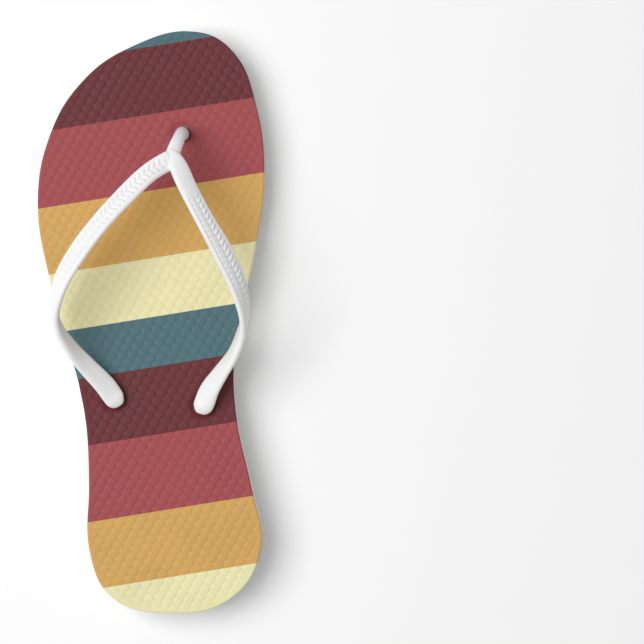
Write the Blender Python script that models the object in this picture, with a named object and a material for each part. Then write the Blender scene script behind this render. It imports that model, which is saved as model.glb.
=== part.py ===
"""Left-foot flip flop: a three-sheet foam-rubber sole and a plugged Y-shaped strap.

World frame: origin on the underside of the sole at its middle, +X towards the big toe's side,
+Y towards the toes, +Z up. Lengths in the tables below are millimetres; MM turns them into metres.
"""

import math

import bmesh
import bpy
from mathutils import Matrix, Vector

MM = 0.001

# Sole: overall size, thickness and how it is laid up from three sheets.
SOLE_LENGTH = 248.5
TOE_THICKNESS = 13.5
HEEL_THICKNESS = 18.0
WEDGE_FRONT_Y = 25.0          # in front of this line the sole has its toe thickness
WEDGE_BACK_Y = -80.0          # behind this line it has its heel thickness
FOOTBED_THICKNESS = 3.0
OUTSOLE_THICKNESS = 3.0
SHEET_GAP = 0.3               # between touching pieces
WEDGE_STEPS = 14              # straight steps that follow the wedge's smooth rise

# Plan outline, as (x, y) round the edge from the toe tip down the little toe's side and back.
HALF_LENGTH = SOLE_LENGTH / 2
HALF_WAIST = 36.0             # half the sole's width near its waist
TOE_POINTS = [(20.5, HALF_LENGTH), (-10.0, 117.2), (-30.3, 102.2), (-43.6, 79.5)]
OUTER_SIDE_POINTS = [(-48.6, 51.0), (-43.2, 17.0), (-28.4, -38.0), (-26.2, -70.0), (-26.2, -97.0)]
HEEL_POINTS = [(-16.6, -117.6), (7.0, -HALF_LENGTH), (34.4, -118.0), (47.4, -96.0)]
INNER_SIDE_POINTS = [(43.4, -72.0), (36.3, -38.0), (36.0, -13.0), (45.0, 33.0), (48.6, 62.0)]
BIG_TOE_POINTS = [(44.8, 93.5), (35.4, 115.5)]
OUTLINE_POINTS = TOE_POINTS + OUTER_SIDE_POINTS + HEEL_POINTS + INNER_SIDE_POINTS + BIG_TOE_POINTS
OUTLINE_RESOLUTION = 5        # straight steps between two outline points
PRISM_MARGIN = 8.0            # how far a trimming solid reaches past what it trims
WELD_DISTANCE = 0.0001

# Where the strap goes through the sole.
TOE_ANCHOR = (13.6, 80.4)
OUTER_ANCHOR = (-15.4, -32.9)
INNER_ANCHOR = (22.3, -36.0)
NECK_RADIUS = 3.0
HOLE_RADIUS = 3.5
PLUG_RADIUS = 8.0
PLUG_BOTTOM = 1.4
PLUG_TOP = 4.0
RECESS_RADIUS = 9.4
RECESS_ROOF = 4.7
ROUND_SEGMENTS = 32

# Tread: zigzag grooves across the outsole, with a plain land at the middle.
GROOVE_PITCH = 10.0
GROOVE_WIDTH = 2.2
GROOVE_DEPTH = 1.2
GROOVE_ZIGZAG = 1.6           # height of one zig
GROOVE_ZIG_LENGTH = 7.8
GROOVE_EDGE_MARGIN = 5.0      # plain border between the tread and the sole's edge

# Strap branches. Each station is (x, y, height over the footbed, facing, width, thickness):
# facing is the tilt of the outer face in degrees, 90 straight up, 0 outwards, negative tucked under.
BRIDGE = (9.6, 68.3, 23.0, 90.0, 8.3, 3.8)
OUTER_LEG = [
    BRIDGE,
    (1.1, 62.9, 25.2, 74.0, 8.6, 3.5),
    (-6.8, 55.5, 26.7, 65.0, 9.3, 3.3),
    (-18.9, 42.5, 28.0, 60.0, 9.2, 3.3),
    (-28.8, 29.7, 27.0, 57.0, 9.5, 3.3),
    (-36.4, 16.9, 24.0, 45.0, 9.4, 3.4),
    (-39.4, 4.6, 19.0, 13.0, 9.3, 3.7),
    (-37.5, -4.1, 14.8, -16.0, 9.1, 3.7),
    (-32.2, -12.3, 11.2, -37.0, 9.0, 3.4),
    (-26.2, -19.3, 8.0, -60.0, 8.8, 3.2),
    (-19.8, -26.2, 5.2, -70.0, 9.2, 3.2),
    (-16.4, -30.9, 3.6, -78.0, 9.1, 3.4),
    (-14.9, -33.3, 3.1, -84.0, 8.4, 3.4),
    (-13.6, -35.2, 2.3, -90.0, 5.6, 2.7),
]
INNER_LEG = [
    (9.1, 71.8, 22.2, 90.0, 4.6, 2.8),
    (11.3, 68.3, 23.5, 84.0, 6.6, 3.7),
    (13.4, 64.2, 24.8, 70.0, 8.2, 3.7),
    (17.3, 55.6, 26.7, 62.0, 8.4, 3.4),
    (24.1, 42.7, 28.0, 59.0, 8.6, 3.3),
    (31.1, 30.1, 27.0, 62.0, 9.4, 3.3),
    (37.1, 17.2, 24.0, 51.0, 9.4, 3.4),
    (40.1, 4.5, 19.5, 20.0, 9.5, 3.6),
    (39.1, -4.0, 15.4, -14.0, 9.2, 3.7),
    (35.7, -13.1, 11.4, -27.0, 9.0, 3.6),
    (30.3, -21.2, 8.2, -45.0, 8.8, 3.3),
    (25.5, -28.4, 5.4, -62.0, 9.3, 3.3),
    (23.2, -34.0, 3.6, -74.0, 9.2, 3.4),
    (22.3, -36.4, 3.1, -84.0, 8.4, 3.4),
    (21.5, -38.4, 2.3, -90.0, 5.6, 2.7),
]
TOE_POST = [
    (9.6, 68.3, 22.0, 90.0, 6.4, 4.0),
    (11.8, 74.4, 18.8, 90.0, 5.8, 4.8),
    (13.2, 78.6, 12.6, 90.0, 5.4, 5.2),
    (13.6, 80.4, 7.0, 90.0, 5.4, 5.4),
    (13.6, 80.4, 3.0, 90.0, 5.4, 5.4),
    (13.6, 80.4, -11.0, 90.0, 5.4, 5.4),
]
STATION_STEPS = 3             # rings between two stations
RING_POINTS = 14
RING_SQUARENESS = 0.62        # 1 is an ellipse, smaller is nearer a rounded bar
NECK_OVERLAP = 0.4            # how far a neck reaches past the middle of the strap above it
BRIDGE_BOSS_SIZE = (4.6, 4.6, 2.1)
BOSS_SEGMENTS = 16
STEEP_LIMIT = 0.05            # a path nearer upright than this keeps the sideways direction it had

WHITE_RUBBER = (0.86, 0.86, 0.85, 1.0)
PRINTED_FOOTBED = (0.45, 0.13, 0.12, 1.0)
WHITE_FOAM = (0.80, 0.80, 0.78, 1.0)
WHITE_TREAD = (0.76, 0.76, 0.74, 1.0)


def clear_scene():
    """Remove whatever objects the file already holds."""
    for item in list(bpy.data.objects):
        bpy.data.objects.remove(item)


def make_collection(name):
    collection = bpy.data.collections.new(name)
    bpy.context.scene.collection.children.link(collection)
    return collection


def make_material(name, colour, roughness, metallic=0.0):
    material = bpy.data.materials.new(name)
    material.use_nodes = True
    shader = material.node_tree.nodes["Principled BSDF"]
    shader.inputs["Base Color"].default_value = colour
    shader.inputs["Roughness"].default_value = roughness
    shader.inputs["Metallic"].default_value = metallic
    return material


def hide_as_cutter(item):
    item.hide_render = True
    item.display_type = "WIRE"


def add_boolean(item, other, operation):
    modifier = item.modifiers.new(operation.title() + " " + other.name, "BOOLEAN")
    modifier.operation = operation
    modifier.object = other


def mesh_object(name, shape, collection):
    """Turn a finished bmesh, in millimetres, into an object in metres."""
    bmesh.ops.scale(shape, vec=Vector((MM, MM, MM)), verts=shape.verts)
    mesh = bpy.data.meshes.new(name)
    shape.to_mesh(mesh)
    shape.free()
    item = bpy.data.objects.new(name, mesh)
    collection.objects.link(item)
    return item


def solid_from_curve(name, curve, placement, collection):
    """Replace an extruded flat curve, in millimetres, by a welded mesh object in metres."""
    guide = bpy.data.objects.new(name + "_curve", curve)
    bpy.context.scene.collection.objects.link(guide)
    bpy.context.view_layer.update()
    evaluated = guide.evaluated_get(bpy.context.evaluated_depsgraph_get())
    mesh = bpy.data.meshes.new_from_object(evaluated)
    shape = bmesh.new()
    shape.from_mesh(mesh)
    shape.transform(placement)
    bmesh.ops.remove_doubles(shape, verts=shape.verts, dist=WELD_DISTANCE)
    bmesh.ops.recalc_face_normals(shape, faces=shape.faces)
    bpy.data.meshes.remove(mesh)
    bpy.data.objects.remove(guide)
    return mesh_object(name, shape, collection)


def flat_curve(name, half_depth):
    curve = bpy.data.curves.new(name, "CURVE")
    curve.dimensions = "2D"
    curve.fill_mode = "BOTH"
    curve.extrude = half_depth
    return curve


def polygon_solid(name, corners, half_depth, placement, collection):
    """Extrude a polygon of straight edges by half_depth to each side of its plane."""
    curve = flat_curve(name, half_depth)
    spline = curve.splines.new("POLY")
    spline.points.add(len(corners) - 1)
    for point, (x, y) in zip(spline.points, corners):
        point.co = (x, y, 0.0, 1.0)
    spline.use_cyclic_u = True
    return solid_from_curve(name, curve, placement, collection)


def outline_solid(name, bottom, top, collection):
    """The sole's plan outline as an upright prism between two heights."""
    curve = flat_curve(name, (top - bottom) / 2)
    curve.resolution_u = OUTLINE_RESOLUTION
    spline = curve.splines.new("BEZIER")
    spline.bezier_points.add(len(OUTLINE_POINTS) - 1)
    for point, (x, y) in zip(spline.bezier_points, OUTLINE_POINTS):
        point.co = (x, y, 0.0)
        point.handle_left_type = "AUTO"
        point.handle_right_type = "AUTO"
    spline.use_cyclic_u = True
    placement = Matrix.Translation((0.0, 0.0, (top + bottom) / 2))
    return solid_from_curve(name, curve, placement, collection)


def sole_top(y):
    """Height of the footbed over the floor: a smooth rise from the toe part to the heel."""
    share = (WEDGE_FRONT_Y - y) / (WEDGE_FRONT_Y - WEDGE_BACK_Y)
    share = min(max(share, 0.0), 1.0)
    rise = share * share * (3.0 - 2.0 * share)
    return TOE_THICKNESS + (HEEL_THICKNESS - TOE_THICKNESS) * rise


def wedge_stations():
    """Places along the sole where the wedge's side profile has a corner."""
    stations = [HALF_LENGTH + PRISM_MARGIN]
    for step in range(WEDGE_STEPS + 1):
        stations.append(WEDGE_FRONT_Y + (WEDGE_BACK_Y - WEDGE_FRONT_Y) * step / WEDGE_STEPS)
    stations.append(-HALF_LENGTH - PRISM_MARGIN)
    return stations


def side_profile_solid(name, lower, upper, collection):
    """A slab across the sole whose lower and upper faces follow two height functions of y."""
    stations = wedge_stations()
    corners = []
    for y in stations:
        corners.append((y, upper(y)))
    for y in reversed(stations):
        corners.append((y, lower(y)))
    stand_up = Matrix(((0, 0, 1, 0), (1, 0, 0, 0), (0, 1, 0, 0), (0, 0, 0, 1)))
    return polygon_solid(name, corners, SOLE_LENGTH / 2, stand_up, collection)


def upright_cylinder(name, centre, radius, bottom, top, collection):
    shape = bmesh.new()
    place = Matrix.Translation((centre[0], centre[1], (bottom + top) / 2))
    bmesh.ops.create_cone(
        shape, cap_ends=True, segments=ROUND_SEGMENTS, radius1=radius, radius2=radius,
        depth=top - bottom, matrix=place,
    )
    return mesh_object(name, shape, collection)


def anchors():
    return {"toe": TOE_ANCHOR, "outer": OUTER_ANCHOR, "inner": INNER_ANCHOR}


def cut_holes(sheet, radius, label, cutters):
    """Cut the three round strap holes right through a sheet."""
    for name, centre in anchors().items():
        cutter = upright_cylinder(
            label + "_" + name, centre, radius, -PRISM_MARGIN, HEEL_THICKNESS + PRISM_MARGIN, cutters
        )
        hide_as_cutter(cutter)
        add_boolean(sheet, cutter, "DIFFERENCE")


def wedge_sheet(name, lower, upper, parts, cutters):
    """A sheet of the sole: the plan outline kept between two heights."""
    sheet = outline_solid(name, -PRISM_MARGIN, HEEL_THICKNESS + PRISM_MARGIN, parts)
    slab = side_profile_solid(name + "_profile", lower, upper, cutters)
    hide_as_cutter(slab)
    add_boolean(sheet, slab, "INTERSECT")
    return sheet


def make_footbed(parts, cutters):
    """Printed, textured top sheet."""
    sheet = wedge_sheet("footbed", lambda y: sole_top(y) - FOOTBED_THICKNESS, sole_top, parts, cutters)
    cut_holes(sheet, HOLE_RADIUS, "footbed_hole", cutters)
    sheet.data.materials.append(make_material("printed_footbed", PRINTED_FOOTBED, 0.7))


def midsole_bottom(_y):
    return OUTSOLE_THICKNESS + SHEET_GAP


def midsole_top(y):
    return sole_top(y) - FOOTBED_THICKNESS - SHEET_GAP


def make_midsole(parts, cutters):
    """Thick white foam-rubber core, with the seats of the three plugs in its underside."""
    sheet = wedge_sheet("midsole", midsole_bottom, midsole_top, parts, cutters)
    cut_holes(sheet, HOLE_RADIUS, "midsole_hole", cutters)
    for name, centre in anchors().items():
        seat = upright_cylinder(
            "plug_seat_" + name, centre, RECESS_RADIUS, -PRISM_MARGIN, RECESS_ROOF, cutters
        )
        hide_as_cutter(seat)
        add_boolean(sheet, seat, "DIFFERENCE")
    sheet.data.materials.append(make_material("white_foam", WHITE_FOAM, 0.75))


def groove_solid(name, middle_y, collection):
    """One zigzag groove across the sole: a flat strip, bent at every second point and thickened."""
    zigs = int(SOLE_LENGTH / 2 / GROOVE_ZIG_LENGTH)
    strip = bmesh.new()
    size = Matrix.Diagonal((zigs * GROOVE_ZIG_LENGTH / 2, GROOVE_WIDTH / 2, 1.0, 1.0))
    place = Matrix.Translation((0.0, middle_y, -GROOVE_DEPTH)) @ size
    bmesh.ops.create_grid(strip, x_segments=zigs, y_segments=1, size=1.0, matrix=place)
    for corner in strip.verts:
        turn = round(corner.co.x / GROOVE_ZIG_LENGTH + zigs / 2)
        corner.co.y += GROOVE_ZIGZAG / 2 if turn % 2 else -GROOVE_ZIGZAG / 2
    raised = bmesh.ops.extrude_face_region(strip, geom=strip.faces[:])
    for corner in raised["geom"]:
        if isinstance(corner, bmesh.types.BMVert):
            corner.co.z = GROOVE_DEPTH
    bmesh.ops.recalc_face_normals(strip, faces=strip.faces)
    return mesh_object(name, strip, collection)


def tread_rows():
    """Middle of each groove: half a pitch each side of the origin, so it lies on a plain land."""
    rows = []
    count = int(HALF_LENGTH / GROOVE_PITCH)
    for index in range(-count, count):
        rows.append((index + 0.5) * GROOVE_PITCH)
    return rows


def make_outsole(parts, cutters):
    """Tread sheet: zigzag grooves inside a plain border, and a window under each plug."""
    sheet = outline_solid("outsole", 0.0, OUTSOLE_THICKNESS, parts)
    field = outline_solid("tread_field", -PRISM_MARGIN, PRISM_MARGIN, cutters)
    shrink_x = 1.0 - GROOVE_EDGE_MARGIN / HALF_WAIST
    shrink_y = 1.0 - GROOVE_EDGE_MARGIN / HALF_LENGTH
    field.data.transform(Matrix.Diagonal((shrink_x, shrink_y, 1.0, 1.0)))
    hide_as_cutter(field)
    for index, row in enumerate(tread_rows()):
        groove = groove_solid("groove_%02d" % index, row, cutters)
        hide_as_cutter(groove)
        add_boolean(groove, field, "INTERSECT")
        add_boolean(sheet, groove, "DIFFERENCE")
    cut_holes(sheet, RECESS_RADIUS, "plug_window", cutters)
    sheet.data.materials.append(make_material("white_tread", WHITE_TREAD, 0.8))


def blend_stations(before, start, end, after, share):
    """Catmull-Rom value between start and end, for each number of a station."""
    values = []
    for a, b, c, d in zip(before, start, end, after):
        linear = (c - a) * share
        square = (2 * a - 5 * b + 4 * c - d) * share ** 2
        cube = (3 * b - a - 3 * c + d) * share ** 3
        values.append(b + (linear + square + cube) / 2)
    return values


def smooth_stations(stations):
    """Fill in STATION_STEPS rings between each two stations of a branch."""
    filled = []
    last = len(stations) - 1
    for index in range(last):
        before = stations[max(index - 1, 0)]
        after = stations[min(index + 2, last)]
        for step in range(STATION_STEPS):
            share = step / STATION_STEPS
            filled.append(blend_stations(before, stations[index], stations[index + 1], after, share))
    filled.append(list(stations[last]))
    return filled


def ring_offsets(width, thickness):
    """Points round a rounded bar section, as (across, out) from its middle."""
    offsets = []
    for index in range(RING_POINTS):
        angle = 2 * math.pi * index / RING_POINTS
        across = math.copysign(abs(math.cos(angle)) ** RING_SQUARENESS, math.cos(angle))
        out = math.copysign(abs(math.sin(angle)) ** RING_SQUARENESS, math.sin(angle))
        roundness = min(thickness / width, 1.0)
        across = across * (1 - roundness ** 2) + math.cos(angle) * roundness ** 2
        out = out * (1 - roundness ** 2) + math.sin(angle) * roundness ** 2
        offsets.append((across * width / 2, out * thickness / 2))
    return offsets


def branch_rings(stations, outward_sign):
    """Section rings along a branch, square to its path and turned by its facing angle."""
    filled = smooth_stations(stations)
    centres = [Vector((x, y, sole_top(y) + height)) for x, y, height, _f, _w, _t in filled]
    rings = []
    sideways = Vector((1.0, 0.0, 0.0))
    for index, (_x, _y, _height, facing, width, thickness) in enumerate(filled):
        ahead = centres[min(index + 1, len(centres) - 1)]
        behind = centres[max(index - 1, 0)]
        along = (ahead - behind).normalized()
        level = along.cross(Vector((0.0, 0.0, 1.0)))
        if level.length > STEEP_LIMIT:
            sideways = level.normalized() * outward_sign
        upward = sideways.cross(along) if outward_sign > 0 else along.cross(sideways)
        tilt = math.radians(facing)
        out = sideways * math.cos(tilt) + upward * math.sin(tilt)
        across = along.cross(out)
        ring = []
        for step_across, step_out in ring_offsets(width, thickness):
            ring.append(centres[index] + across * step_across + out * step_out)
        rings.append(ring)
    return rings


def loft(name, rings, collection):
    """Close a row of unlike section rings into one solid."""
    shape = bmesh.new()
    loops = [[shape.verts.new(point) for point in ring] for ring in rings]
    for lower, upper in zip(loops, loops[1:]):
        for index in range(RING_POINTS):
            following = (index + 1) % RING_POINTS
            shape.faces.new((lower[index], lower[following], upper[following], upper[index]))
    shape.faces.new(loops[0])
    shape.faces.new(loops[-1])
    bmesh.ops.recalc_face_normals(shape, faces=shape.faces)
    return mesh_object(name, shape, collection)


def strap_plug(name, centre, collection):
    """Mushroom head that keeps a strap end from pulling up through the sole."""
    return upright_cylinder(name, centre, PLUG_RADIUS, PLUG_BOTTOM, PLUG_TOP, collection)


def strap_neck(name, centre, height, collection):
    """Round stem through the sole, from inside the plug up into the strap."""
    top = sole_top(centre[1]) + height + NECK_OVERLAP
    return upright_cylinder(name, centre, NECK_RADIUS, PLUG_BOTTOM + NECK_OVERLAP, top, collection)


def make_strap(parts, cutters):
    """One moulding: bridge, two legs and toe post, each ending in a neck and a plug."""
    strap = loft("strap", branch_rings(OUTER_LEG, 1.0), parts)
    pieces = [
        loft("inner_leg", branch_rings(INNER_LEG, -1.0), cutters),
        loft("toe_post", branch_rings(TOE_POST, 1.0), cutters),
    ]
    x, y, height = BRIDGE[:3]
    shape = bmesh.new()
    place = Matrix.Translation((x, y, sole_top(y) + height)) @ Matrix.Diagonal((*BRIDGE_BOSS_SIZE, 1.0))
    bmesh.ops.create_uvsphere(
        shape, u_segments=BOSS_SEGMENTS, v_segments=BOSS_SEGMENTS // 2, radius=1.0, matrix=place
    )
    pieces.append(mesh_object("bridge_boss", shape, cutters))
    pieces.append(strap_neck("neck_outer", OUTER_ANCHOR, OUTER_LEG[-2][2], cutters))
    pieces.append(strap_neck("neck_inner", INNER_ANCHOR, INNER_LEG[-2][2], cutters))
    for name, centre in anchors().items():
        pieces.append(strap_plug("plug_" + name, centre, cutters))
    for piece in pieces:
        hide_as_cutter(piece)
        add_boolean(strap, piece, "UNION")
    strap.data.materials.append(make_material("white_rubber", WHITE_RUBBER, 0.35))


def main():
    clear_scene()
    parts = make_collection("flip_flop")
    cutters = make_collection("cutters")
    make_footbed(parts, cutters)
    make_midsole(parts, cutters)
    make_outsole(parts, cutters)
    make_strap(parts, cutters)


if __name__ == "__main__":
    main()
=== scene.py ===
"""Looks of the left-foot flip flop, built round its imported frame. All lengths are metres."""

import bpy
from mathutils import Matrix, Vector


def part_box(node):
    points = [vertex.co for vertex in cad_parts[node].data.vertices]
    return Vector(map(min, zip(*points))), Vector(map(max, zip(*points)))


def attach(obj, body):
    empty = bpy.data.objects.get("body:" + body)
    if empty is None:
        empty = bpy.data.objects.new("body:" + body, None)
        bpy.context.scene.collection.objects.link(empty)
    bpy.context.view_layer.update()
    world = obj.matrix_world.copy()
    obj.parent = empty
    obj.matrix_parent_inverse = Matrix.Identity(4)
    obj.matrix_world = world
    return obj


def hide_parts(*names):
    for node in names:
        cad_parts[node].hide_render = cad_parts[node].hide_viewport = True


bl_info = {
    "name": "Flip Flop Looks",
    "version": (1, 0, 0),
    "blender": (4, 5, 0),
    "location": "3D View > Sidebar > Flip Flop",
    "description": "Builds a printed footbed, foam midsole, tread and moulded strap on the packed frame",
    "category": "Object",
}

import math
from collections import namedtuple

import bmesh
import bpy
import numpy as np
from bpy.props import FloatProperty, FloatVectorProperty, IntProperty, PointerProperty
from mathutils import Vector
from mathutils.bvhtree import BVHTree

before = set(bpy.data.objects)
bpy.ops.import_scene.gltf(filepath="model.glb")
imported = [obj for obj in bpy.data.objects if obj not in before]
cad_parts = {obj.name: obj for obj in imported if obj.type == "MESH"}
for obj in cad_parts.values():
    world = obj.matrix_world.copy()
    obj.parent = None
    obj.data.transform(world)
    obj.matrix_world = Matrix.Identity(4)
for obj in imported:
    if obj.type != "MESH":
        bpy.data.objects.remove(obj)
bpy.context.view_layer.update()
UP = Vector((0.0, 0.0, 1.0))
MM = 0.001
FAR = 0.1                      # well above, or below, every part of the flip flop

# ---------------------------------------------------------------- what the frame says


def node_tree(node):
    """Ray-casting tree of a CAD node."""
    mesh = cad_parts[node].data
    corners = [corner.co for corner in mesh.vertices]
    faces = [tuple(face.vertices) for face in mesh.polygons]
    return BVHTree.FromPolygons(corners, faces)


ABOVE_TREAD = 0.8              # share of the outsole's thickness that is clear of its grooves


def read_outline(rays=720, softening=3):
    """Plan outline of the sole: rays towards the origin through the outsole, above its tread."""
    tree = node_tree("outsole")
    low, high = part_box("outsole")
    level = low[2] + ABOVE_TREAD * (high[2] - low[2])
    outside = 2 * max(high[1], -low[1])
    angles = np.arange(rays) * 2 * math.pi / rays
    reach = np.zeros(rays)
    for index, angle in enumerate(angles):
        away = Vector((math.cos(angle), math.sin(angle), 0.0))
        hit = tree.ray_cast(away * outside + UP * level, -away)[0]
        reach[index] = math.hypot(hit.x, hit.y)
    for _pass in range(softening):
        reach = (np.roll(reach, 1) + 2 * reach + np.roll(reach, -1)) / 4
    return np.stack([reach * np.cos(angles), reach * np.sin(angles)], axis=1)


OUTLINE = read_outline()


def side_edges(y):
    """x of the outer (little toe) and inner (big toe) edge of the sole at each y."""
    toe = int(np.argmax(OUTLINE[:, 1]))
    heel = int(np.argmin(OUTLINE[:, 1]))
    from_toe = np.roll(OUTLINE, -toe, axis=0)
    turn = (heel - toe) % len(OUTLINE)
    outer = from_toe[: turn + 1][::-1]
    inner = np.vstack([from_toe[turn:], from_toe[:1]])
    return np.interp(y, outer[:, 1], outer[:, 0]), np.interp(y, inner[:, 1], inner[:, 0])


MEASURED_SHARE = 0.98          # how much of the sole's length the heights are read along


def read_height(node, above, stations=61):
    """Height of a sheet's upper or lower face along the sole, read down its middle."""
    tree = node_tree(node)
    start = UP * (FAR if above else -FAR)
    reach = MEASURED_SHARE * OUTLINE[:, 1]
    along = np.linspace(reach.min(), reach.max(), stations)
    outer, inner = side_edges(along)
    heights = []
    for y, middle in zip(along, (outer + inner) / 2):
        hit = tree.ray_cast(Vector((middle, y, 0.0)) + start, -start.normalized())[0]
        heights.append(hit.z)
    return along, np.array(heights)


FOOTBED_TOP = read_height("footbed", True)
FOOTBED_BOTTOM = read_height("footbed", False)
MIDSOLE_TOP = read_height("midsole", True)
OUTSOLE_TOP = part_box("outsole")[1][2]


def height_at(profile, y):
    return np.interp(y, profile[0], profile[1])


LEVEL_TOLERANCE = 0.0002       # corners within this height of each other are on one level


def read_plugs():
    """Centres of the strap's three plugs, from the lowest ring of the CAD strap: outer, inner, toe."""
    corners = np.array([corner.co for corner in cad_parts["strap"].data.vertices])
    lowest = corners[corners[:, 2] < corners[:, 2].min() + LEVEL_TOLERANCE]
    front = lowest[lowest[:, 1] > 0.0]
    back = lowest[lowest[:, 1] <= 0.0]
    split = back[:, 0].mean()
    groups = [back[back[:, 0] < split], back[back[:, 0] >= split], front]
    return [(group.min(axis=0) + group.max(axis=0))[:2] / 2 for group in groups]


OUTER_PLUG, INNER_PLUG, TOE_PLUG = read_plugs()

# ---------------------------------------------------------------- settings


class SoleSettings(bpy.types.PropertyGroup):
    """Sizes of the sole's surface detail."""

    rim_radius: FloatProperty(
        name="Rim radius", description="Rounding of the footbed's upper edge",
        default=0.0006, unit="LENGTH",
    )
    grain_length: FloatProperty(
        name="Grain length", description="Distance between grains along a row",
        default=0.0048, unit="LENGTH",
    )
    grain_row: FloatProperty(
        name="Grain row", description="Distance between rows of grains", default=0.00306, unit="LENGTH",
    )
    grain_depth: FloatProperty(
        name="Grain depth", description="Height of a grain over its groove",
        default=0.00029, unit="LENGTH",
    )
    hole_radius: FloatProperty(
        name="Strap hole radius", description="Radius of the holes for the strap",
        default=0.0035, unit="LENGTH",
    )
    dimple_width: FloatProperty(
        name="Dimple width", description="Width of the pressed-in ring round a strap hole",
        default=0.0040, unit="LENGTH",
    )
    dimple_depth: FloatProperty(
        name="Dimple depth", description="Depth of the pressed-in ring at the hole",
        default=0.0011, unit="LENGTH",
    )
    seat_radius: FloatProperty(
        name="Plug seat radius", description="Radius of the seat under a plug",
        default=0.0094, unit="LENGTH",
    )
    seat_height: FloatProperty(
        name="Plug seat height", description="Height of the plug seat over the floor",
        default=0.0047, unit="LENGTH",
    )
    groove_pitch: FloatProperty(
        name="Tread pitch", description="Distance between tread grooves", default=0.010, unit="LENGTH",
    )
    groove_width: FloatProperty(
        name="Tread groove width", description="Width of a tread groove", default=0.0024, unit="LENGTH",
    )
    groove_depth: FloatProperty(
        name="Tread groove depth", description="Depth of a tread groove", default=0.0012, unit="LENGTH",
    )
    waist: FloatProperty(
        name="Wall waist", description="How far the cut foam edge is drawn in half way up",
        default=0.00035, unit="LENGTH",
    )


class PrintSettings(bpy.types.PropertyGroup):
    """Colours and widths of the footbed's printed bands."""

    tilt: FloatProperty(
        name="Tilt", description="Angle by which the bands rise towards the big toe",
        default=math.radians(9.2), subtype="ANGLE",
    )
    start: FloatProperty(
        name="First maroon edge", description="Where the first maroon band starts, at the middle line",
        default=0.1165, unit="LENGTH",
    )
    widths: FloatVectorProperty(
        name="Widths", description="Widths of the maroon, red, ochre, cream and teal bands",
        default=(0.0284, 0.0324, 0.0287, 0.0249, 0.0213), size=5, unit="LENGTH",
    )
    maroon: FloatVectorProperty(
        name="Maroon", description="First band", default=(0.130, 0.0216, 0.0265), subtype="COLOR",
    )
    red: FloatVectorProperty(
        name="Red", description="Second band", default=(0.338, 0.0635, 0.070), subtype="COLOR",
    )
    ochre: FloatVectorProperty(
        name="Ochre", description="Third band", default=(0.610, 0.355, 0.098), subtype="COLOR",
    )
    cream: FloatVectorProperty(
        name="Cream", description="Fourth band", default=(0.770, 0.725, 0.410), subtype="COLOR",
    )
    teal: FloatVectorProperty(
        name="Teal", description="Fifth band", default=(0.068, 0.146, 0.166), subtype="COLOR",
    )


class StrapSettings(bpy.types.PropertyGroup):
    """Sizes of the strap's moulded detail."""

    voxel: FloatProperty(
        name="Surface size", description="Size of the strap's surface faces", default=0.00035,
        unit="LENGTH",
    )
    neck_radius: FloatProperty(
        name="Neck radius", description="Radius of the stems through the sole",
        default=0.0030, unit="LENGTH",
    )
    plug_radius: FloatProperty(
        name="Plug radius", description="Radius of the plug heads", default=0.0080, unit="LENGTH",
    )
    plug_height: FloatProperty(
        name="Plug height", description="Thickness of the plug heads", default=0.0026, unit="LENGTH",
    )
    border: FloatProperty(
        name="Border", description="Width of the raised smooth border", default=0.0011, unit="LENGTH",
    )
    channel: FloatProperty(
        name="Channel", description="Width of the plain channel inside the border",
        default=0.0007, unit="LENGTH",
    )
    panel_depth: FloatProperty(
        name="Panel depth", description="Depth of the ribbed panel under the border",
        default=0.00040, unit="LENGTH",
    )
    rib_pitch: FloatProperty(
        name="Rib pitch", description="Distance between ribs along a leg", default=0.0025,
        unit="LENGTH",
    )
    rib_width: FloatProperty(
        name="Rib width", description="Width of a rib along the leg", default=0.0014, unit="LENGTH",
    )
    rib_height: FloatProperty(
        name="Rib height", description="Height of the ribs over the panel", default=0.00044,
        unit="LENGTH",
    )
    rib_lean: FloatProperty(
        name="Rib lean", description="How far a rib runs along the leg for each unit across it",
        default=0.65,
    )
    rib_start: FloatProperty(
        name="Rib start", description="Where the inner leg's ribs begin, from the bridge",
        default=0.020, unit="LENGTH",
    )
    rib_end: FloatProperty(
        name="Rib end", description="Where the ribs have faded out, from the bridge",
        default=0.088, unit="LENGTH",
    )
    smoothing: IntProperty(name="Smoothing", description="Passes over the moulded surface", default=8)


class StageSettings(bpy.types.PropertyGroup):
    """Camera and light."""

    camera_height: FloatProperty(
        name="Camera height", description="Height over the footbed", default=1.2, unit="LENGTH",
    )
    view_width: FloatProperty(
        name="View width", description="Width of the view at the footbed", default=0.2756,
        unit="LENGTH",
    )
    camera_side: FloatProperty(
        name="Camera offset", description="Camera's distance to the big toe's side",
        default=0.0732, unit="LENGTH",
    )
    key_power: FloatProperty(name="Key power", description="Power of the main soft light", default=20.5)
    fill_strength: FloatProperty(
        name="Fill strength", description="Brightness of the even surrounding light", default=0.46,
    )


# ---------------------------------------------------------------- mesh helpers

EDGE_STEPS = np.array([0.0, 0.0002, 0.0005, 0.0009, 0.0014])
ROW_STEPS = np.array([0.00003, 0.00015, 0.0004, 0.0008, 0.0014])
ROWS = 480
FINE_COLUMNS = 160
PLAIN_COLUMNS = 2
CHUNK = 4000                   # points handled at a time, to save memory
ROUND_SEGMENTS = 64            # sides of a round hole, neck or plug
SHARP_ANGLE = math.radians(50)  # steeper creases than this stay sharp
WALL_SLOPE = 0.05              # faces whose normal points up less than this are side walls


def smooth_step(value):
    share = np.clip(value, 0.0, 1.0)
    return share * share * (3.0 - 2.0 * share)


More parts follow.
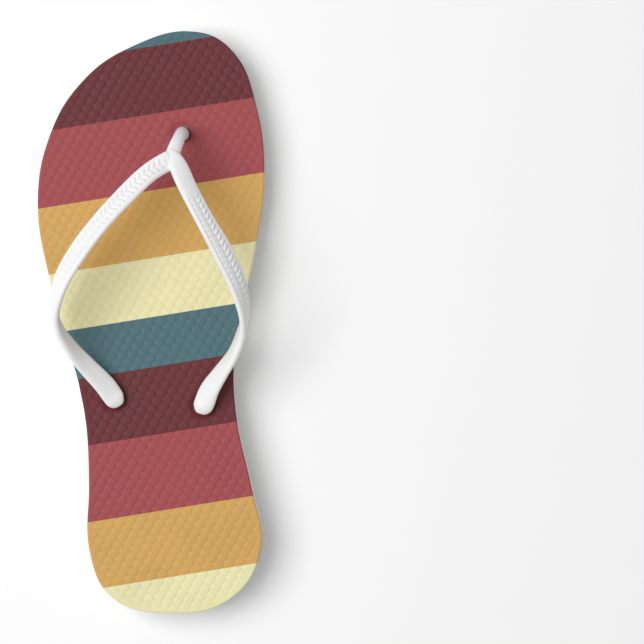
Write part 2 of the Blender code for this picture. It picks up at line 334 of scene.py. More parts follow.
def add_object(name, corners, faces):
    """A closed mesh object with its faces pointing out."""
    mesh = bpy.data.meshes.new(name)
    mesh.from_pydata([tuple(corner) for corner in corners], [], faces)
    shape = bmesh.new()
    shape.from_mesh(mesh)
    bmesh.ops.recalc_face_normals(shape, faces=shape.faces)
    shape.to_mesh(mesh)
    shape.free()
    item = bpy.data.objects.new(name, mesh)
    bpy.context.scene.collection.objects.link(item)
    return item


def bake_modifiers(item):
    """Make what the modifiers show the object's own mesh."""
    bpy.context.view_layer.update()
    evaluated = item.evaluated_get(bpy.context.evaluated_depsgraph_get())
    mesh = bpy.data.meshes.new_from_object(evaluated)
    item.modifiers.clear()
    item.data = mesh


def place_cylinder(shape, centre, radius, bottom, top):
    """Add an upright cylinder to a bmesh."""
    made = bmesh.ops.create_cone(
        shape, cap_ends=True, segments=ROUND_SEGMENTS, radius1=radius, radius2=radius, depth=top - bottom
    )
    bmesh.ops.translate(shape, verts=made["verts"], vec=(centre[0], centre[1], (top + bottom) / 2))


def bore_holes(item, radius, bottom, top):
    """Cut a round hole of one radius at each of the strap's three places."""
    shape = bmesh.new()
    for centre in (OUTER_PLUG, INNER_PLUG, TOE_PLUG):
        place_cylinder(shape, centre, radius, bottom, top)
    mesh = bpy.data.meshes.new(item.name + "_bores")
    shape.to_mesh(mesh)
    shape.free()
    cutter = bpy.data.objects.new(mesh.name, mesh)
    bpy.context.scene.collection.objects.link(cutter)
    modifier = item.modifiers.new("Bores", "BOOLEAN")
    modifier.operation = "DIFFERENCE"
    modifier.object = cutter
    bake_modifiers(item)
    bpy.data.objects.remove(cutter)


def spread(length, fine_steps, count):
    """Positions from one end to the other, close together at both ends and even between them."""
    fine = fine_steps * min(1.0, length / (4 * fine_steps[-1]))
    middle = np.linspace(fine[-1], length - fine[-1], count)
    return np.concatenate([fine[:-1], middle, length - fine[-2::-1]])


def sole_grid(columns):
    """x and y of a grid that fills the sole's outline, row by row from heel to toe."""
    heel = OUTLINE[:, 1].min()
    toe = OUTLINE[:, 1].max()
    rows = heel + spread(toe - heel, ROW_STEPS, ROWS)
    outer, inner = side_edges(rows)
    across = []
    for left, right in zip(outer, inner):
        if columns == PLAIN_COLUMNS:
            across.append(np.array([left, right]))
        else:
            across.append(left + spread(right - left, EDGE_STEPS, columns))
    x = np.stack(across)
    return x, np.repeat(rows[:, None], x.shape[1], axis=1)


def edge_distance(x, y):
    """Distance from each point to the sole's outline."""
    points = np.stack([x.ravel(), y.ravel()], axis=1)
    start = OUTLINE
    run = np.roll(OUTLINE, -1, axis=0) - start
    run_square = (run ** 2).sum(axis=1)
    nearest = np.empty(len(points))
    for first in range(0, len(points), CHUNK):
        offset = points[first:first + CHUNK, None, :] - start[None]
        share = np.clip((offset * run).sum(axis=2) / run_square, 0.0, 1.0)
        gap = offset - share[:, :, None] * run
        nearest[first:first + CHUNK] = np.sqrt((gap ** 2).sum(axis=2).min(axis=1))
    return nearest.reshape(x.shape)


def boundary_loop(rows, columns):
    """Indices round a grid of rows and columns, up the outer side and down the inner one."""
    grid = np.arange(rows * columns).reshape(rows, columns)
    up = grid[:, 0]
    over = grid[-1, 1:-1]
    down = grid[::-1, -1]
    back = grid[0, -2:0:-1]
    return np.concatenate([up, over, down, back])


def inward_normals(ring):
    """Level unit vectors that point into a closed ring of points."""
    along = np.roll(ring, -1, axis=0) - np.roll(ring, 1, axis=0)
    inward = np.stack([along[:, 1], -along[:, 0], np.zeros(len(ring))], axis=1)
    return inward / np.linalg.norm(inward, axis=1, keepdims=True)


def plain_face(ring, rows, width):
    """Faces that close a sheet's last ring: strips from its outer to its inner side, row by row."""
    turn = 2 * rows + width - 3         # place in the ring of the heel end's inner corner
    chains = [[ring[0]] + list(ring[turn:][::-1])]
    for row in range(1, rows - 1):
        chains.append([ring[row], ring[turn - row]])
    chains.append(list(ring[rows - 1:rows + width - 1]))
    return [
        [int(index) for index in lower + upper[::-1]] for lower, upper in zip(chains, chains[1:])
    ]


def sole_sheet(name, columns, detailed_face, plain_height, wall):
    """A closed sheet in the sole's outline: a detailed face, a wall of rings and a plain face.

    wall lists each ring as (share of the way to the plain face, distance drawn in).
    """
    x, y = sole_grid(columns)
    rows, width = x.shape
    corners = [np.stack([x, y, detailed_face(x, y)], axis=2).reshape(-1, 3)]
    grid = np.arange(rows * width).reshape(rows, width)
    quads = [grid[:-1, :-1], grid[:-1, 1:], grid[1:, 1:], grid[1:, :-1]]
    faces = np.stack(quads, axis=2).reshape(-1, 4).tolist()
    loop = boundary_loop(rows, width)
    start = corners[0][loop]
    inward = inward_normals(start)
    goal = plain_height(start[:, 1])
    ring = loop
    total = rows * width
    for share, inset in wall:
        points = start + inward * inset
        points[:, 2] = start[:, 2] + (goal - start[:, 2]) * share
        corners.append(points)
        following = total + np.arange(len(loop))
        total += len(loop)
        sides = [ring, np.roll(ring, -1), np.roll(following, -1), following]
        faces += np.stack(sides, axis=1).tolist()
        ring = following
    faces += plain_face(ring, rows, width)
    return add_object(name, np.vstack(corners), faces)


def rounded_edge(edge, radius):
    """How far a rounded edge falls away at a distance in from the outline."""
    inside = np.clip(radius - edge, 0.0, radius)
    return radius - np.sqrt(radius ** 2 - inside ** 2)


def finish_piece(item, body, node):
    """Shade a piece, put it on its body and let it stand for its CAD node."""
    item.data.shade_smooth()
    item.data.set_sharp_from_angle(angle=SHARP_ANGLE)
    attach(item, body)
    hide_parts(node)


# ---------------------------------------------------------------- materials


def shader_group(name, inputs, outputs):
    """An empty node group with float inputs (name, default) and float outputs."""
    group = bpy.data.node_groups.new(name, "ShaderNodeTree")
    for label, value in inputs:
        socket = group.interface.new_socket(label, in_out="INPUT", socket_type="NodeSocketFloat")
        socket.default_value = value
    for label in outputs:
        group.interface.new_socket(label, in_out="OUTPUT", socket_type="NodeSocketFloat")
    return group, group.nodes.new("NodeGroupInput"), group.nodes.new("NodeGroupOutput")


def math_node(tree, operation, first, second=None):
    """A Math node fed by sockets or plain numbers; returns its value."""
    node = tree.nodes.new("ShaderNodeMath")
    node.operation = operation
    for socket, value in zip(node.inputs, (first, second)):
        if value is None:
            continue
        if isinstance(value, (int, float)):
            socket.default_value = value
        else:
            tree.links.new(value, socket)
    return node.outputs["Value"]


def noise_value(tree, coordinates, size, detail):
    """Noise with features of a given size; size is a socket or a number."""
    noise = tree.nodes.new("ShaderNodeTexNoise")
    noise.inputs["Detail"].default_value = detail
    tree.links.new(coordinates, noise.inputs["Vector"])
    tree.links.new(math_node(tree, "DIVIDE", 1.0, size), noise.inputs["Scale"])
    return noise.outputs["Fac"]


SHEEN_LEVEL = 0.3
Finish = namedtuple("Finish", "name pore_size bump roughness tone")
PRINTED_TOP = Finish("printed_top", 0.0005, 0.00003, (0.50, 0.62), (0.95, 1.03))
FOAM = Finish("white_foam", 0.0006, 0.00006, (0.70, 0.85), (0.97, 1.0))
TREAD = Finish("white_tread", 0.0004, 0.00003, (0.55, 0.70), (0.97, 1.0))
STRAP_RUBBER = Finish("white_strap_rubber", 0.0009, 0.00002, (0.32, 0.42), (0.98, 1.0))
FLOOR = Finish("pale_floor", 0.002, 0.00001, (0.85, 0.9), (0.995, 1.0))
FOAM_COLOUR = (0.80, 0.80, 0.78)
TREAD_COLOUR = (0.76, 0.76, 0.74)
STRAP_COLOUR = (0.80, 0.80, 0.80)
FLOOR_COLOUR = (0.93, 0.93, 0.93)


def rubber_skin_group():
    """Rubber skin, shared by every material: fine pores as a height, and slow mottling."""
    name = "Rubber Skin"
    if name in bpy.data.node_groups:
        return bpy.data.node_groups[name]
    sizes = [("Pore Size", 0.0004), ("Mottle Size", 0.02)]
    group, entry, leave = shader_group(name, sizes, ["Height", "Mottle"])
    place = group.nodes.new("ShaderNodeTexCoord").outputs["Object"]
    pores = noise_value(group, place, entry.outputs["Pore Size"], 3.0)
    mottle = noise_value(group, place, entry.outputs["Mottle Size"], 4.0)
    group.links.new(pores, leave.inputs["Height"])
    group.links.new(mottle, leave.inputs["Mottle"])
    return group


NOISE_LOW = 0.3                # nearly all of a noise texture lies between these two values
NOISE_HIGH = 0.7


def map_range(tree, value, low, high):
    """Spread a noise value's useful middle over low to high."""
    node = tree.nodes.new("ShaderNodeMapRange")
    node.inputs["From Min"].default_value = NOISE_LOW
    node.inputs["From Max"].default_value = NOISE_HIGH
    node.inputs["To Min"].default_value = low
    node.inputs["To Max"].default_value = high
    tree.links.new(value, node.inputs["Value"])
    return node.outputs["Result"]


def rubber_material(finish):
    """A rubber finish without its colour: returns the material, its shader, and a tone value.

    The finish's roughness and tone are (low, high) pairs that follow the mottling.
    """
    material = bpy.data.materials.new(finish.name)
    material.use_nodes = True
    tree = material.node_tree
    shader = tree.nodes["Principled BSDF"]
    shader.inputs["Specular IOR Level"].default_value = SHEEN_LEVEL
    skin = tree.nodes.new("ShaderNodeGroup")
    skin.node_tree = rubber_skin_group()
    skin.inputs["Pore Size"].default_value = finish.pore_size
    relief = tree.nodes.new("ShaderNodeBump")
    relief.inputs["Strength"].default_value = 1.0
    relief.inputs["Distance"].default_value = finish.bump
    tree.links.new(skin.outputs["Height"], relief.inputs["Height"])
    tree.links.new(relief.outputs["Normal"], shader.inputs["Normal"])
    roughness = map_range(tree, skin.outputs["Mottle"], *finish.roughness)
    tree.links.new(roughness, shader.inputs["Roughness"])
    return material, shader, map_range(tree, skin.outputs["Mottle"], *finish.tone)


def tint(tree, colour, tone):
    """Multiply a colour, given as a socket or as numbers, by a tone value."""
    node = tree.nodes.new("ShaderNodeVectorMath")
    node.operation = "SCALE"
    if isinstance(colour, tuple):
        node.inputs[0].default_value = colour
    else:
        tree.links.new(colour, node.inputs[0])
    tree.links.new(tone, node.inputs["Scale"])
    return node.outputs["Vector"]


def plain_rubber(finish, colour):
    """A one-colour rubber with pores and light mottling."""
    material, shader, tone = rubber_material(finish)
    tree = material.node_tree
    tree.links.new(tint(tree, colour, tone), shader.inputs["Base Color"])
    return material


def printed_rubber(settings):
    """The footbed's print: tilted bands of five colours that repeat from toe to heel."""
    material, shader, tone = rubber_material(PRINTED_TOP)
    tree = material.node_tree
    place = tree.nodes.new("ShaderNodeTexCoord").outputs["Object"]
    parts = tree.nodes.new("ShaderNodeSeparateXYZ")
    tree.links.new(place, parts.inputs["Vector"])
    along = math_node(tree, "MULTIPLY", parts.outputs["Y"], math.cos(settings.tilt))
    across = math_node(tree, "MULTIPLY", parts.outputs["X"], math.sin(settings.tilt))
    passed = math_node(tree, "SUBTRACT", settings.start, math_node(tree, "SUBTRACT", along, across))
    period = sum(settings.widths)
    share = math_node(tree, "FRACT", math_node(tree, "DIVIDE", passed, period))
    ramp = tree.nodes.new("ShaderNodeValToRGB")
    ramp.color_ramp.interpolation = "CONSTANT"
    inks = [settings.maroon, settings.red, settings.ochre, settings.cream, settings.teal]
    while len(ramp.color_ramp.elements) < len(inks):
        ramp.color_ramp.elements.new(1.0)
    start = 0.0
    for element, ink, width in zip(ramp.color_ramp.elements, inks, settings.widths):
        element.position = start / period
        element.color = (*ink, 1.0)
        start += width
    tree.links.new(share, ramp.inputs["Fac"])
    tree.links.new(tint(tree, ramp.outputs["Color"], tone), shader.inputs["Base Color"])
    return material


# ---------------------------------------------------------------- footbed


GRAIN_SHIFT = 0.07             # how far a grain strays along its row, in grain lengths
GRAIN_DRIFT = 0.10             # how far it strays across its row, in row heights
GRAIN_SQUEEZE = 1.10           # a distance across the rows counts this much more than along them
GROOVE_SOFTNESS = 0.30         # width of the slope from a groove to a crown, in grain lengths
NOT_FOUND = 9.0                # further than any grain, in grain lengths
GRAIN_FADE = 0.0035            # the grain dies out over this distance from the sole's edge
# A wall lists its rings as (share of the way from the detailed face to the plain one, inset).
SHEET_BEVEL = 0.0003
FOOTBED_WALL = [(0.4, 0.0), (0.88, 0.0), (1.0, SHEET_BEVEL)]


def stray(row, column):
    """A number between -0.5 and 0.5 that looks random and is always the same for one grain."""
    value = np.sin(row * 12.9898 + column * 78.233) * 43758.5453
    return value - np.floor(value) - 0.5


def grain_relief(x, y, settings, tilt):
    """Moulded grains in staggered rows: 1 on a grain's crown, 0 in the grooves between grains."""
    length = settings.grain_length
    row_height = settings.grain_row
    along = x * math.cos(tilt) + y * math.sin(tilt)
    upward = y * math.cos(tilt) - x * math.sin(tilt)
    base_row = np.floor(upward / row_height)
    nearest = np.full(x.shape, NOT_FOUND)
    second = np.full(x.shape, NOT_FOUND)
    for row_step in (-1, 0, 1, 2):
        row = base_row + row_step
        shift = 0.5 * (row % 2)
        base_column = np.round(along / length - shift)
        for column_step in (-1, 0, 1):
            column = base_column + column_step
            wobble = stray(row, column)
            beside = (along - (column + shift + GRAIN_SHIFT * wobble) * length) / length
            above = (upward - (row + GRAIN_DRIFT * wobble) * row_height) / length
            reach = np.hypot(beside, GRAIN_SQUEEZE * above)
            second = np.minimum(second, np.maximum(nearest, reach))
            nearest = np.minimum(nearest, reach)
    return smooth_step((second - nearest) / GROOVE_SOFTNESS)


def hole_closeness(x, y, settings):
    """1 at a strap hole's edge, falling to 0 at the outside of its pressed-in ring."""
    closeness = np.zeros(x.shape)
    for centre in (OUTER_PLUG, INNER_PLUG, TOE_PLUG):
        away = np.hypot(x - centre[0], y - centre[1]) - settings.hole_radius
        closeness = np.maximum(closeness, 1.0 - smooth_step(away / settings.dimple_width))
    return closeness


def footbed_face(settings, tilt):
    """Height of the footbed's upper face: grains, pressed-in rings round the holes, rounded rim."""
    def face(x, y):
        edge = edge_distance(x, y)
        near_hole = hole_closeness(x, y, settings)
        fade = smooth_step(edge / GRAIN_FADE) * (1.0 - near_hole)
        grain = (grain_relief(x, y, settings, tilt) - 1.0) * settings.grain_depth * fade
        dimple = near_hole ** 2 * settings.dimple_depth
        rim = rounded_edge(edge, settings.rim_radius)
        return height_at(FOOTBED_TOP, y) + grain - dimple - rim
    return face


class FLIPFLOP_OT_footbed(bpy.types.Operator):
    """Build the printed, textured top sheet"""

    bl_idname = "flipflop.footbed"
    bl_label = "Build Footbed"

    def execute(self, context):
        settings = context.scene.flipflop_sole
        bands = context.scene.flipflop_print
        item = sole_sheet(
            "printed_footbed", FINE_COLUMNS, footbed_face(settings, bands.tilt),
            lambda y: height_at(FOOTBED_BOTTOM, y), FOOTBED_WALL,
        )
        bore_holes(item, settings.hole_radius, 0.0, FAR)
        item.data.materials.append(printed_rubber(bands))
        item.data.materials.append(plain_rubber(FOAM, FOAM_COLOUR))
        for face in item.data.polygons:
            if face.normal.z < WALL_SLOPE:
                face.material_index = 1
        finish_piece(item, "sole", "footbed")
        return {"FINISHED"}


# ---------------------------------------------------------------- midsole and outsole

TOP_GLUE = 0.0002              # how far the midsole reaches into the glue line over it
BOTTOM_GLUE = 0.0001           # the gap it keeps over the outsole
# The rings of the midsole's hollow wall as (share of the way down, share of the waist's depth).
HOLLOW_WALL = [(0.15, 0.5), (0.35, 0.9), (0.5, 1.0), (0.65, 0.9), (0.85, 0.5), (1.0, 0.0)]
OUTSOLE_WALL = [(0.5, 0.0), (0.85, 0.0), (1.0, SHEET_BEVEL)]
WAVE_HEIGHT = 0.0008
WAVE_LENGTH = 0.0156
GROOVE_FLOOR = 0.3             # share of a groove's width, either side of its middle, that is flat
GROOVE_SLOPE = 0.0006          # width of a groove's sloping side
TREAD_BORDER = 0.0045          # plain border between the tread and the sole's edge
BORDER_SLOPE = 0.0008


class FLIPFLOP_OT_midsole(bpy.types.Operator):
    """Build the foam core, with its cut edge and plug seats"""

    bl_idname = "flipflop.midsole"
    bl_label = "Build Midsole"

    def execute(self, context):
        settings = context.scene.flipflop_sole
        item = sole_sheet(
            "foam_midsole", PLAIN_COLUMNS, lambda x, y: height_at(MIDSOLE_TOP, y) + TOP_GLUE,
            lambda y: np.full(len(y), OUTSOLE_TOP + BOTTOM_GLUE),
            [(share, depth * settings.waist) for share, depth in HOLLOW_WALL],
        )
        bore_holes(item, settings.hole_radius, -FAR, FAR)
        bore_holes(item, settings.seat_radius, -FAR, settings.seat_height)
        item.data.materials.append(plain_rubber(FOAM, FOAM_COLOUR))
        finish_piece(item, "sole", "midsole")
        return {"FINISHED"}


def tread_face(settings):
    """Height of the tread: wavy grooves inside a plain border, on an edge that is rounded."""
    def face(x, y):
        edge = edge_distance(x, y)
        wave = WAVE_HEIGHT * np.sin(2 * math.pi * x / WAVE_LENGTH)
        row = (y + wave) / settings.groove_pitch
        from_groove = np.abs(row - np.floor(row) - 0.5) * settings.groove_pitch
        past_floor = from_groove - GROOVE_FLOOR * settings.groove_width
        groove = 1.0 - smooth_step(past_floor / GROOVE_SLOPE)
        border = smooth_step((edge - TREAD_BORDER) / BORDER_SLOPE)
        return settings.groove_depth * groove * border + rounded_edge(edge, settings.rim_radius)
    return face


class FLIPFLOP_OT_outsole(bpy.types.Operator):
    """Build the tread sheet with its grooves and plug windows"""

    bl_idname = "flipflop.outsole"
    bl_label = "Build Outsole"

    def execute(self, context):
        settings = context.scene.flipflop_sole
        item = sole_sheet(
            "tread_outsole", FINE_COLUMNS, tread_face(settings),
            lambda y: np.full(len(y), OUTSOLE_TOP), OUTSOLE_WALL,
        )
        bore_holes(item, settings.seat_radius, -FAR, FAR)
        item.data.materials.append(plain_rubber(TREAD, TREAD_COLOUR))
        finish_piece(item, "sole", "outsole")
        return {"FINISHED"}


# ---------------------------------------------------------------- strap

# A leg's path is drawn in millimetres, where the bridge is at DRAWN_BRIDGE, and is then
# fitted to the frame's own bridge, plug, widest place and height. A station is (x, y, height over
# the footbed, facing, width, thickness). Facing is the tilt of the outer face in degrees: 90
# straight up, 0 outwards, negative tucked under.
DRAWN_BRIDGE = (9.6, 68.3)
DRAWN_ARCH = 31.7              # the strap's top over the footbed
DRAWN_OUTER_PLUG_Y = -32.9
DRAWN_INNER_PLUG_Y = -36.0
OUTER_LEG = [
    (9.6, 68.3, 23.0, 90.0, 8.3, 3.8),
    (1.1, 62.9, 25.2, 74.0, 8.6, 3.5),
    (-6.8, 55.5, 26.7, 65.0, 9.3, 3.3),
    (-18.9, 42.5, 28.0, 60.0, 9.4, 3.4),
    (-28.8, 29.7, 27.0, 57.0, 9.7, 3.4),
    (-36.4, 16.9, 24.0, 45.0, 9.6, 3.5),
    (-39.4, 4.6, 19.0, 13.0, 9.3, 3.7),
    (-37.5, -4.1, 14.8, -16.0, 9.1, 3.7),
    (-32.2, -12.3, 11.2, -37.0, 9.0, 3.4),
    (-26.2, -19.3, 8.0, -60.0, 8.8, 3.2),
    (-19.8, -26.2, 5.2, -70.0, 9.2, 3.2),
    (-16.4, -30.9, 3.6, -78.0, 9.1, 3.4),
    (-14.9, -33.3, 3.1, -84.0, 8.4, 3.4),
    (-13.7, -35.0, 2.4, -90.0, 6.0, 2.8),
    (-13.3, -35.6, 2.0, -90.0, 3.4, 2.0),
]
INNER_LEG = [
    (9.0, 72.1, 22.2, 90.0, 3.4, 2.6),
    (11.4, 68.5, 23.5, 84.0, 6.4, 3.7),
    (13.5, 64.0, 24.8, 70.0, 8.2, 3.7),
    (17.3, 55.6, 26.7, 62.0, 8.5, 3.5),
    (24.1, 42.7, 28.0, 59.0, 8.7, 3.4),
    (31.1, 30.1, 27.0, 62.0, 9.6, 3.4),
    (37.1, 17.2, 24.0, 51.0, 9.6, 3.5),
    (40.1, 4.5, 19.5, 20.0, 9.5, 3.6),
    (39.1, -4.0, 15.4, -14.0, 9.2, 3.7),
    (35.7, -13.1, 11.4, -27.0, 9.0, 3.6),
    (30.3, -21.2, 8.2, -45.0, 8.8, 3.3),
    (25.5, -28.4, 5.4, -62.0, 9.3, 3.3),
    (23.2, -34.0, 3.6, -74.0, 9.2, 3.4),
    (22.3, -36.4, 3.1, -84.0, 8.4, 3.4),
    (21.6, -38.2, 2.4, -90.0, 6.0, 2.8),
    (21.4, -38.8, 2.0, -90.0, 3.4, 2.0),
]
# The toe post's stations are (share of the way from the bridge to the toe hole, height, width,
# thickness); the last one ends inside the plug.
TOE_POST = [
    (0.00, 0.0220, 0.0064, 0.0040),
    (0.52, 0.0188, 0.0058, 0.0048),
    (0.87, 0.0126, 0.0054, 0.0052),
    (1.00, 0.0070, 0.0054, 0.0054),
    (1.00, 0.0020, 0.0054, 0.0054),
    (1.00, -0.0100, 0.0054, 0.0054),
]
RING_POINTS = 40
RING_SQUARENESS = 0.76         # 1 is an ellipse, smaller is nearer a rounded bar
STATION_STEPS = 12
LEVEL_LIMIT = 0.05             # a path nearer upright than this keeps the sideways direction it had
BRIDGE_BACK = np.array([-0.0040, -0.0121])     # from the toe hole to the bridge
BAND_HALF_THICKNESS = 0.0023   # from the widest place of a leg to the middle of its band


def bridge_point():
    return TOE_PLUG + BRIDGE_BACK


def leg_stations(path, drawn_plug_y, drawn_widest_x, plug, widest_x):
    """World stations of a leg: its drawn path fitted to the frame, its facing and its section."""
    bridge = bridge_point()
    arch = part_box("strap")[1][2] - height_at(FOOTBED_TOP, bridge[1])
    drawn_x, drawn_y = DRAWN_BRIDGE
    stations = []
    for path_x, path_y, path_height, facing, width, thickness in path:
        out = (path_x - drawn_x) / (drawn_widest_x - drawn_x)
        along = (path_y - drawn_y) / (drawn_plug_y - drawn_y)
        x = bridge[0] + out * (widest_x - bridge[0])
        y = bridge[1] + along * (plug[1] - bridge[1])
        z = height_at(FOOTBED_TOP, y) + path_height / DRAWN_ARCH * arch
        stations.append((x, y, z, facing, width * MM, thickness * MM))
    return stations


def outer_leg_stations():
    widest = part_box("strap")[0][0] + BAND_HALF_THICKNESS
    drawn_widest = min(station[0] for station in OUTER_LEG)
    return leg_stations(OUTER_LEG, DRAWN_OUTER_PLUG_Y, drawn_widest, OUTER_PLUG, widest)


def inner_leg_stations():
    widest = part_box("strap")[1][0] - BAND_HALF_THICKNESS
    drawn_widest = max(station[0] for station in INNER_LEG)
    return leg_stations(INNER_LEG, DRAWN_INNER_PLUG_Y, drawn_widest, INNER_PLUG, widest)


def toe_post_stations():
    bridge = bridge_point()
    stations = []
    for share, height, width, thickness in TOE_POST:
        x, y = bridge + share * (TOE_PLUG - bridge)
        stations.append((x, y, height_at(FOOTBED_TOP, y) + height, 90.0, width, thickness))
    return stations


def fill_stations(stations):
    """Catmull-Rom steps between the stations of a branch."""
    given = np.array(stations)
    padded = np.vstack([given[:1], given, given[-1:]])
    filled = []
    for a, b, c, d in zip(padded, padded[1:], padded[2:], padded[3:]):
        for share in np.arange(STATION_STEPS) / STATION_STEPS:
            square = (2 * a - 5 * b + 4 * c - d) * share ** 2
            cube = (3 * b - a - 3 * c + d) * share ** 3
            filled.append(b + ((c - a) * share + square + cube) / 2)
    filled.append(given[-1])
    return np.array(filled)


def branch_frames(stations, outward_sign):
    """Middle, across and out vectors, width and thickness at each step along a branch."""
    filled = fill_stations(stations)
    centres = filled[:, :3]
    along = np.gradient(centres, axis=0)
    along /= np.linalg.norm(along, axis=1, keepdims=True)
    sideways = np.zeros_like(centres)
    current = np.array([1.0, 0.0, 0.0])
    for index, direction in enumerate(along):
        level = np.cross(direction, UP)
        if np.linalg.norm(level) > LEVEL_LIMIT:
            current = outward_sign * level / np.linalg.norm(level)
        sideways[index] = current
    upward = outward_sign * np.cross(sideways, along)
    facing = np.radians(filled[:, 3])[:, None]
    out = sideways * np.cos(facing) + upward * np.sin(facing)
    return {
        "centre": centres, "out": out, "across": np.cross(along, out),
        "width": filled[:, 4], "thickness": filled[:, 5],
    }


def branch_mesh(shape, frames):
    """Loft a branch's rounded bar section along its frames into a bmesh."""
    angles = np.arange(RING_POINTS) * 2 * math.pi / RING_POINTS
    rings = []
    for centre, out, across, width, thickness in zip(
        frames["centre"], frames["out"], frames["across"], frames["width"], frames["thickness"]
    ):
        roundness = min(thickness / width, 1.0) ** 2
        power = RING_SQUARENESS * (1 - roundness) + roundness
        side = np.sign(np.cos(angles)) * np.abs(np.cos(angles)) ** power * width / 2
        lift = np.sign(np.sin(angles)) * np.abs(np.sin(angles)) ** power * thickness / 2
        points = centre + side[:, None] * across + lift[:, None] * out
        rings.append([shape.verts.new(point) for point in points])
    for lower, upper in zip(rings, rings[1:]):
        for index in range(RING_POINTS):
            after = (index + 1) % RING_POINTS
            shape.faces.new((lower[index], lower[after], upper[after], upper[index]))
    shape.faces.new(rings[0])
    shape.faces.new(rings[-1])


def strap_blank(settings, branches):
    """All of the strap's overlapping solids in one mesh, before they are fused."""
    shape = bmesh.new()
    for frames in branches:
        branch_mesh(shape, frames)
    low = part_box("strap")[0][2]
    for plug, leg in ((OUTER_PLUG, branches[0]), (INNER_PLUG, branches[1])):
        top = leg["centre"][-2 * STATION_STEPS][2]
        place_cylinder(shape, plug, settings.neck_radius, low, top)
    for plug in (OUTER_PLUG, INNER_PLUG, TOE_PLUG):
        place_cylinder(shape, plug, settings.plug_radius, low, low + settings.plug_height)
    bmesh.ops.recalc_face_normals(shape, faces=shape.faces)
    mesh = bpy.data.meshes.new("moulded_strap")
    shape.to_mesh(mesh)
    shape.free()
    item = bpy.data.objects.new("moulded_strap", mesh)
    bpy.context.scene.collection.objects.link(item)
    return item


def fuse_and_smooth(item, settings):
    """Fuse the overlapping solids into one skin and soften its creases."""
    fuse = item.modifiers.new("Fuse", "REMESH")
    fuse.mode = "VOXEL"
    fuse.voxel_size = settings.voxel
    soften = item.modifiers.new("Soften", "SMOOTH")
    soften.factor = 0.5
    soften.iterations = settings.smoothing
    bake_modifiers(item)


def leg_place(points, frames):
    """Where each point lies on a leg: along, across and out of it, its half width and its gap."""
    centres = frames["centre"]
    steps = np.linalg.norm(np.diff(centres, axis=0), axis=1)
    length = np.concatenate([[0.0], np.cumsum(steps)])
    columns = []
    for first in range(0, len(points), CHUNK):
        chunk = points[first:first + CHUNK]
        nearest = ((chunk[:, None, :] - centres[None]) ** 2).sum(axis=2).argmin(axis=1)
        gap = chunk - centres[nearest]
        out_vector = frames["out"][nearest]
        across_vector = frames["across"][nearest]
        along_vector = np.cross(out_vector, across_vector)
        columns.append(np.stack([
            length[nearest] + (gap * along_vector).sum(axis=1),
            (gap * across_vector).sum(axis=1),
            (gap * out_vector).sum(axis=1) / (frames["thickness"][nearest] / 2),
            frames["width"][nearest] / 2,
            np.linalg.norm(gap, axis=1),
        ]))
    return np.concatenate(columns, axis=1)


FACE_START = 0.30              # the relief begins here, in half thicknesses out of the middle
FACE_SLOPE = 0.40
LEG_REACH = 1.25               # points further off than this many half widths are on another part
PANEL_START = 0.006            # the panel reaches its depth over this length
PANEL_END = 0.030              # and loses it over this length
PANEL_SIDE = 0.0007            # width of the step from the border to the panel
RIB_SOFTNESS = 0.0006          # width of a rib's sloping side
ROW_SOFTNESS = 0.0004          # width over which the ends of the ribs rise
MIDDLE_LINE = 0.00015          # half the plain line between the two rows of ribs
OVERLAP_SLOPE = 0.0008         # the outer leg's relief stops over this width at the inner leg


def leg_relief(place, start, settings):
    """Relief of a leg's outer face: raised border, sunk channel and two rows of slanted ribs."""
    along, across, out, half, distance = place
    side = np.abs(across)
    on_face = smooth_step((out - FACE_START) / FACE_SLOPE) * (distance < LEG_REACH * half)
    zone = smooth_step((along - start) / PANEL_START)
    zone *= smooth_step((settings.rib_end - along) / PANEL_END)
    panel = smooth_step((half - settings.border - side) / PANEL_SIDE)
    row = smooth_step((side - MIDDLE_LINE) / ROW_SOFTNESS)
    row *= smooth_step((half - settings.border - settings.channel - side) / ROW_SOFTNESS)
    phase = (along + settings.rib_lean * side) / settings.rib_pitch
    from_rib = np.abs(phase - np.floor(phase) - 0.5) * settings.rib_pitch
    rib = smooth_step((settings.rib_width / 2 + RIB_SOFTNESS / 2 - from_rib) / RIB_SOFTNESS)
    sunk = settings.panel_depth - settings.rib_height * rib * row
    return -sunk * panel * zone * on_face


def press_relief(item, outer, inner, settings):
    """Move the strap's surface in along its normals by the relief of both legs.

    The outer leg's panel runs up to the side of the inner leg, which passes over the bridge.
    """
    mesh = item.data
    count = len(mesh.vertices)
    points = np.empty(count * 3)
    mesh.vertices.foreach_get("co", points)
    points = points.reshape(-1, 3)
    normals = np.empty(count * 3)
    mesh.vertex_normals.foreach_get("vector", normals)
    on_outer = leg_place(points, outer)
    on_inner = leg_place(points, inner)
    past_side = np.abs(on_inner[1]) - on_inner[3]
    beside_inner = smooth_step((past_side + OVERLAP_SLOPE / 2) / OVERLAP_SLOPE)
    relief = leg_relief(on_outer, 0.0, settings) * beside_inner
    relief += leg_relief(on_inner, settings.rib_start, settings)
    points += normals.reshape(-1, 3) * relief[:, None]
    mesh.vertices.foreach_set("co", points.ravel())
    mesh.update()


class FLIPFLOP_OT_strap(bpy.types.Operator):
    """Build the moulded strap with its toe post, necks and plugs"""

    bl_idname = "flipflop.strap"
    bl_label = "Build Strap"

    def execute(self, context):
        settings = context.scene.flipflop_strap
        outer = branch_frames(outer_leg_stations(), 1.0)
        inner = branch_frames(inner_leg_stations(), -1.0)
        post = branch_frames(toe_post_stations(), 1.0)
        item = strap_blank(settings, (outer, inner, post))
        fuse_and_smooth(item, settings)
        press_relief(item, outer, inner, settings)
        item.data.materials.append(plain_rubber(STRAP_RUBBER, STRAP_COLOUR))
        finish_piece(item, "strap", "strap")
        return {"FINISHED"}


# ---------------------------------------------------------------- stage

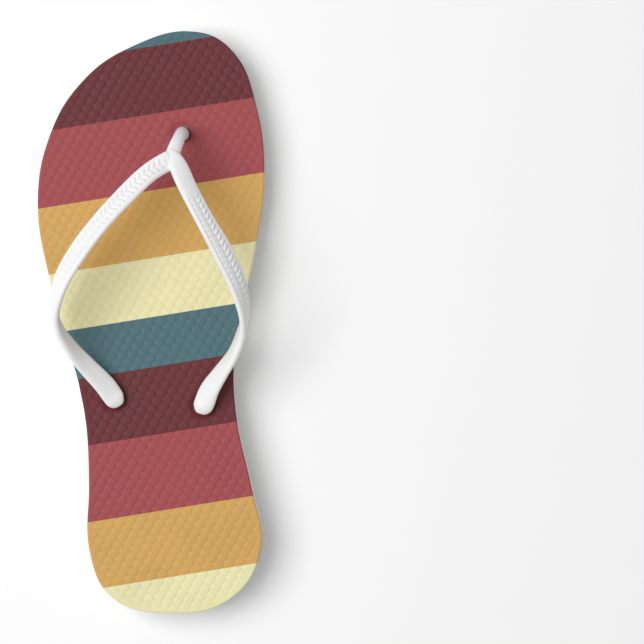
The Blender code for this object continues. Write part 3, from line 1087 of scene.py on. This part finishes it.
SENSOR_WIDTH = 36.0
VIEW_END = 10.0
FLOOR_HALF_SIZE = 2.0
FLOOR_GAP = 0.0001             # the floor lies this far under the tread
KEY_DIRECTION = (-0.58, 0.14, 1.0)
KEY_DISTANCE = 1.6
KEY_SIZE = 1.2
WHITE = (1.0, 1.0, 1.0, 1.0)


def add_camera(settings):
    level = float(height_at(FOOTBED_TOP, 0.0))
    lens = bpy.data.cameras.new("camera")
    lens.sensor_width = SENSOR_WIDTH
    lens.lens = SENSOR_WIDTH * settings.camera_height / settings.view_width
    lens.clip_end = VIEW_END
    camera = bpy.data.objects.new("camera", lens)
    camera.location = (settings.camera_side, 0.0, level + settings.camera_height)
    bpy.context.scene.collection.objects.link(camera)
    bpy.context.scene.camera = camera


def add_soft_light(name, direction, distance, size, power):
    """A square area light that faces the origin from a direction."""
    light = bpy.data.lights.new(name, "AREA")
    light.size = size
    light.energy = power
    item = bpy.data.objects.new(name, light)
    item.location = Vector(direction).normalized() * distance
    item.rotation_euler = Vector(direction).to_track_quat("Z", "Y").to_euler()
    bpy.context.scene.collection.objects.link(item)


def add_floor():
    shape = bmesh.new()
    bmesh.ops.create_grid(shape, x_segments=8, y_segments=8, size=FLOOR_HALF_SIZE)
    mesh = bpy.data.meshes.new("floor")
    shape.to_mesh(mesh)
    shape.free()
    floor = bpy.data.objects.new("floor", mesh)
    floor.location = (0.0, 0.0, -FLOOR_GAP)
    bpy.context.scene.collection.objects.link(floor)
    floor.data.materials.append(plain_rubber(FLOOR, FLOOR_COLOUR))


class FLIPFLOP_OT_stage(bpy.types.Operator):
    """Set the pale floor, the soft light and the camera"""

    bl_idname = "flipflop.stage"
    bl_label = "Set Stage"

    def execute(self, context):
        settings = context.scene.flipflop_stage
        scene = context.scene
        scene.view_settings.view_transform = "Standard"
        world = scene.world or bpy.data.worlds.new("World")
        scene.world = world
        world.use_nodes = True
        background = world.node_tree.nodes["Background"]
        background.inputs["Color"].default_value = WHITE
        background.inputs["Strength"].default_value = settings.fill_strength
        add_floor()
        add_soft_light("key_light", KEY_DIRECTION, KEY_DISTANCE, KEY_SIZE, settings.key_power)
        add_camera(settings)
        return {"FINISHED"}


class FLIPFLOP_PT_panel(bpy.types.Panel):
    """Buttons for each piece of the flip flop"""

    bl_label = "Flip Flop"
    bl_idname = "FLIPFLOP_PT_panel"
    bl_space_type = "VIEW_3D"
    bl_region_type = "UI"
    bl_category = "Flip Flop"

    def draw(self, context):
        for operator in OPERATORS:
            self.layout.operator(operator.bl_idname)


SETTINGS = {
    "flipflop_sole": SoleSettings,
    "flipflop_print": PrintSettings,
    "flipflop_strap": StrapSettings,
    "flipflop_stage": StageSettings,
}
OPERATORS = (
    FLIPFLOP_OT_stage,
    FLIPFLOP_OT_footbed,
    FLIPFLOP_OT_midsole,
    FLIPFLOP_OT_outsole,
    FLIPFLOP_OT_strap,
)


def register():
    for name, group in SETTINGS.items():
        bpy.utils.register_class(group)
        setattr(bpy.types.Scene, name, PointerProperty(type=group))
    for operator in OPERATORS:
        bpy.utils.register_class(operator)
    bpy.utils.register_class(FLIPFLOP_PT_panel)


def unregister():
    bpy.utils.unregister_class(FLIPFLOP_PT_panel)
    for operator in OPERATORS:
        bpy.utils.unregister_class(operator)
    for name, group in SETTINGS.items():
        delattr(bpy.types.Scene, name)
        bpy.utils.unregister_class(group)


def main():
    register()
    bpy.ops.flipflop.stage()
    bpy.ops.flipflop.footbed()
    bpy.ops.flipflop.midsole()
    bpy.ops.flipflop.outsole()
    bpy.ops.flipflop.strap()


if __name__ == "__main__":
    main()
